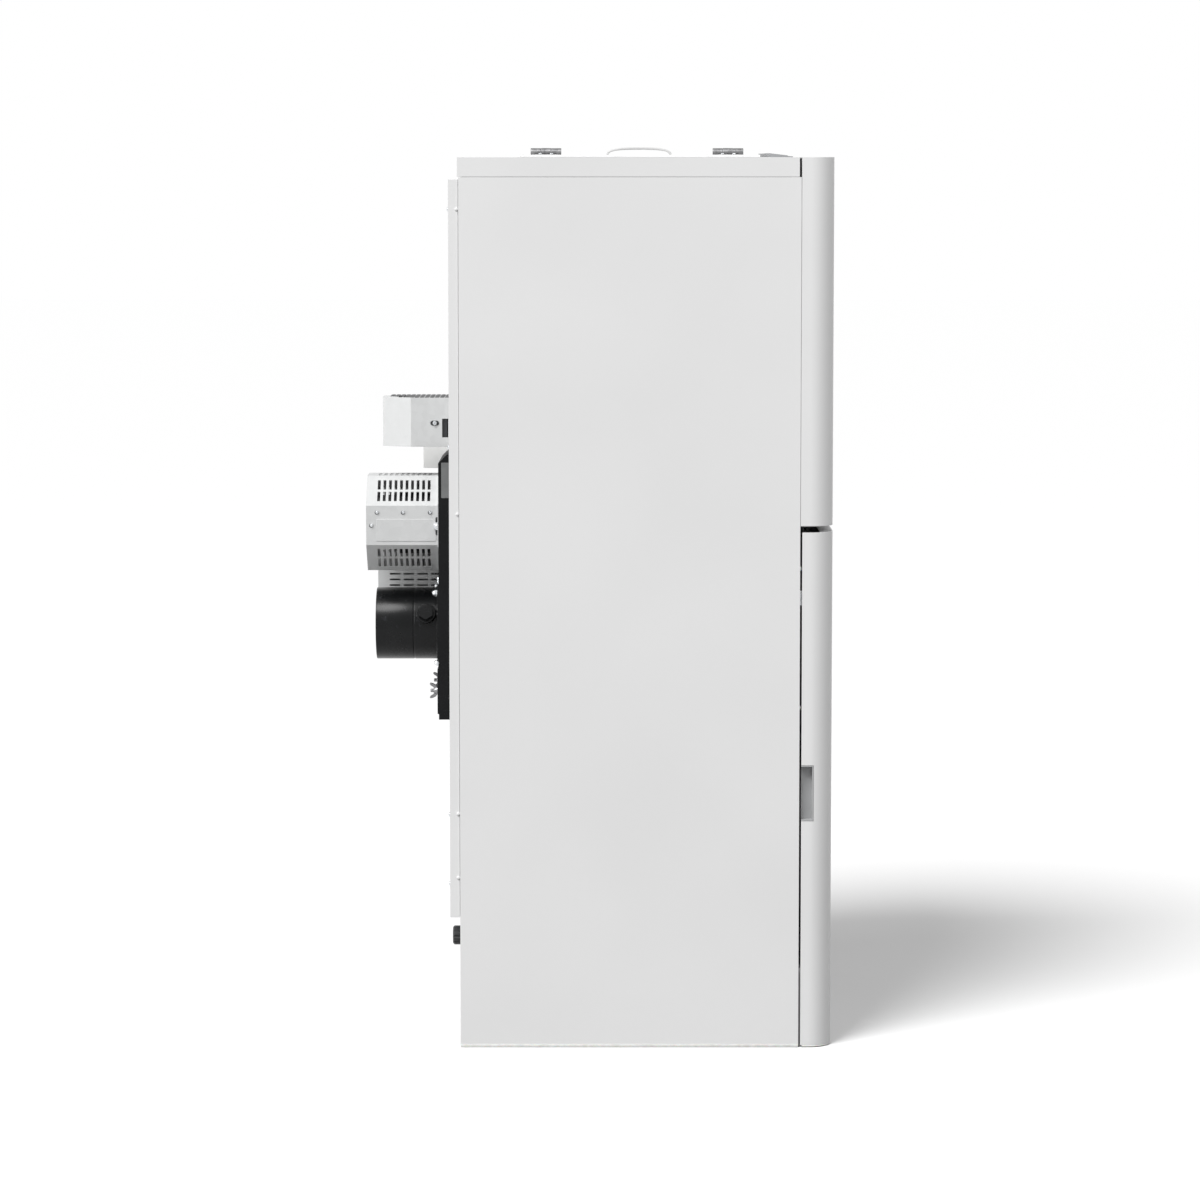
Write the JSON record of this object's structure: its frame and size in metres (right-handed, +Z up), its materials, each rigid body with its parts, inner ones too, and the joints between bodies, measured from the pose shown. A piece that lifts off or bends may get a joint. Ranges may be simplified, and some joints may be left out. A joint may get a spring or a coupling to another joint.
{
  "type": "pellet boiler",
  "caption": "Free-standing pellet boiler with a lidded hopper, a hinged front door, a rear smoke fan under an octagonal guard and a round flue spigot.",
  "frame": {"origin": "on the floor under the middle of the boiler's box, guards included", "axes": "+Z up, the door faces -Y, the flue leaves along +Y, the door is hinged on the +X side"},
  "size_m": [0.56, 0.6364, 1.2138],
  "materials": {
    "powder_coat_light": "satin powder coat",
    "powder_coat_front": "satin powder coat",
    "galvanised_sheet": "galvanised",
    "dark_sheet": "matt",
    "heat_paint": "matt heat-resistant paint",
    "boiler_steel": "primed",
    "cast_iron": "cast",
    "zinc_plate": "zinc plated",
    "black_plastic": "moulded",
    "motor_black": "satin",
    "grey_plastic": "moulded",
    "white_plastic": "moulded",
    "white_silicone": "matt",
    "glass_rope": "braided",
    "insulated_pan": "satin",
    "ash_steel": "satin",
    "brass": "machined",
    "copper_pipe": "drawn",
    "red_paint": "gloss",
    "red_plastic": "moulded",
    "board_blue": "moulded",
    "display_glass": "polished"
  },
  "bodies": {
    "casing": {"base_frame": "dark_sheet", "levelling_feet": "black_plastic", "side_panel_left": "powder_coat_light", "side_panel_right": "powder_coat_light", "top_cover": "powder_coat_light", "upper_front_panel": "powder_coat_front", "rear_panel": "galvanised_sheet", "lower_rear_plate": "galvanised_sheet", "inner_front_plate": "dark_sheet", "casing_screws": "zinc_plate", "silicone_parts": "white_silicone", "door_hinge_brackets": "zinc_plate", "boiler_body": "boiler_steel", "tube_cover": "boiler_steel", "cleaning_gearmotor": "motor_black", "cleaning_cover": "galvanised_sheet", "firebox_hinges": "boiler_steel", "igniter": "zinc_plate", "hopper_bin": "galvanised_sheet", "lid_hinge_bases": "black_plastic", "auger_tube": "zinc_plate", "feed_gearmotor": "motor_black", "feed_guard": "galvanised_sheet", "pellet_chute": "boiler_steel", "smoke_box": "dark_sheet", "inspection_cover": "dark_sheet", "fan_motor": "motor_black", "fan_guard": "galvanised_sheet", "flue_spigot": "heat_paint", "test_plug": "heat_paint", "pressure_switch": "white_plastic", "pump": "red_paint", "expansion_vessel": "red_paint", "safety_valve": "brass", "water_pipes": "copper_pipe", "drain_valve": "brass", "control_board": "board_blue", "console": "black_plastic", "display": "display_glass", "power_inlet": "black_plastic", "air_inlet": "galvanised_sheet"},
    "lower_door": {"door_skin": "powder_coat_front", "door_liner": "insulated_pan", "finger_pull": "grey_plastic"},
    "firebox_door": {"firebox_door": "cast_iron", "firebox_seal": "glass_rope"},
    "firebox_handle": {"firebox_handle": "zinc_plate"},
    "ash_drawer": {"ash_drawer": "ash_steel"},
    "brazier": {"brazier": "cast_iron"},
    "hopper_lid": {"hopper_lid": "powder_coat_light", "lid_handle": "black_plastic"},
    "impeller": {"fan_impeller": "zinc_plate"},
    "auger": {"auger_screw": "zinc_plate"},
    "cleaning_shaft": {"cleaning_shaft": "zinc_plate"},
    "turbulator_rack": {"turbulator_rack": "zinc_plate"},
    "button_1": {"button_1": "grey_plastic"},
    "button_2": {"button_2": "grey_plastic"},
    "button_3": {"button_3": "grey_plastic"},
    "rocker": {"rocker": "red_plastic"},
    "drain_knob": {"drain_knob": "black_plastic"}
  },
  "joints": [
    {"name": "lower_door_hinge", "type": "hinge", "parent": "casing", "child": "lower_door", "pos_m": [0.2705, -0.2962, 0], "axis": [0, 0, 1], "range_deg": [0, 100]},
    {"name": "firebox_door_hinge", "type": "hinge", "parent": "casing", "child": "firebox_door", "pos_m": [0.184, -0.2673, 0.388], "axis": [0, 0, 1], "range_deg": [0, 100]},
    {"name": "firebox_handle_turn", "type": "hinge", "parent": "firebox_door", "child": "firebox_handle", "pos_m": [-0.144, -0.275, 0.388], "axis": [0, 1, 0], "range_deg": [0, 80]},
    {"name": "ash_drawer_slide", "type": "slide", "parent": "casing", "child": "ash_drawer", "axis": [0, -1, 0], "range_m": [0, 0.262]},
    {"name": "brazier_lift", "type": "slide", "parent": "casing", "child": "brazier", "axis": [0, 0, 1], "range_m": [0, 0.06]},
    {"name": "hopper_lid_hinge", "type": "hinge", "parent": "casing", "child": "hopper_lid", "pos_m": [0.185, -0.0585, 1.207], "axis": [0, 1, 0], "range_deg": [0, 95]},
    {"name": "fan_spin", "type": "hinge", "parent": "casing", "child": "impeller", "pos_m": [-0.03, 0.2, 0.693], "axis": [0, 1, 0], "continuous": true},
    {"name": "auger_turn", "type": "hinge", "parent": "casing", "child": "auger", "pos_m": [0.115, 0, 0.666], "axis": [0, 1, 0], "continuous": true},
    {"name": "cleaning_shaft_rock", "type": "hinge", "parent": "casing", "child": "cleaning_shaft", "pos_m": [-0.027, 0.15, 0.833], "axis": [0, 1, 0], "range_deg": [0, 26]},
    {"name": "turbulator_lift", "type": "slide", "parent": "casing", "child": "turbulator_rack", "axis": [0, 0, 1], "range_m": [0, 0.0191]},
    {"name": "button_1_press", "type": "slide", "parent": "casing", "child": "button_1", "axis": [0, 0.1909, -0.9816], "range_m": [0, 0.0012], "stiffness_N_per_m": 300},
    {"name": "button_2_press", "type": "slide", "parent": "casing", "child": "button_2", "axis": [0, 0.1909, -0.9816], "range_m": [0, 0.0012], "stiffness_N_per_m": 300},
    {"name": "button_3_press", "type": "slide", "parent": "casing", "child": "button_3", "axis": [0, 0.1909, -0.9816], "range_m": [0, 0.0012], "stiffness_N_per_m": 300},
    {"name": "rocker_tilt", "type": "hinge", "parent": "casing", "child": "rocker", "pos_m": [0.205, 0.1908, 0.482], "axis": [1, 0, 0], "range_deg": [0, 16]},
    {"name": "drain_knob_turn", "type": "hinge", "parent": "casing", "child": "drain_knob", "pos_m": [-0.2, 0.185, 0.139], "axis": [0, 1, 0], "range_deg": [0, 360]}
  ],
  "couplings": [
    {"joint": "firebox_door_hinge", "follows": "lower_door_hinge", "ratio": 1},
    {"joint": "ash_drawer_slide", "follows": "lower_door_hinge", "m_per_rad": 0.15},
    {"joint": "turbulator_lift", "follows": "cleaning_shaft_rock", "m_per_rad": 0.042}
  ]
}
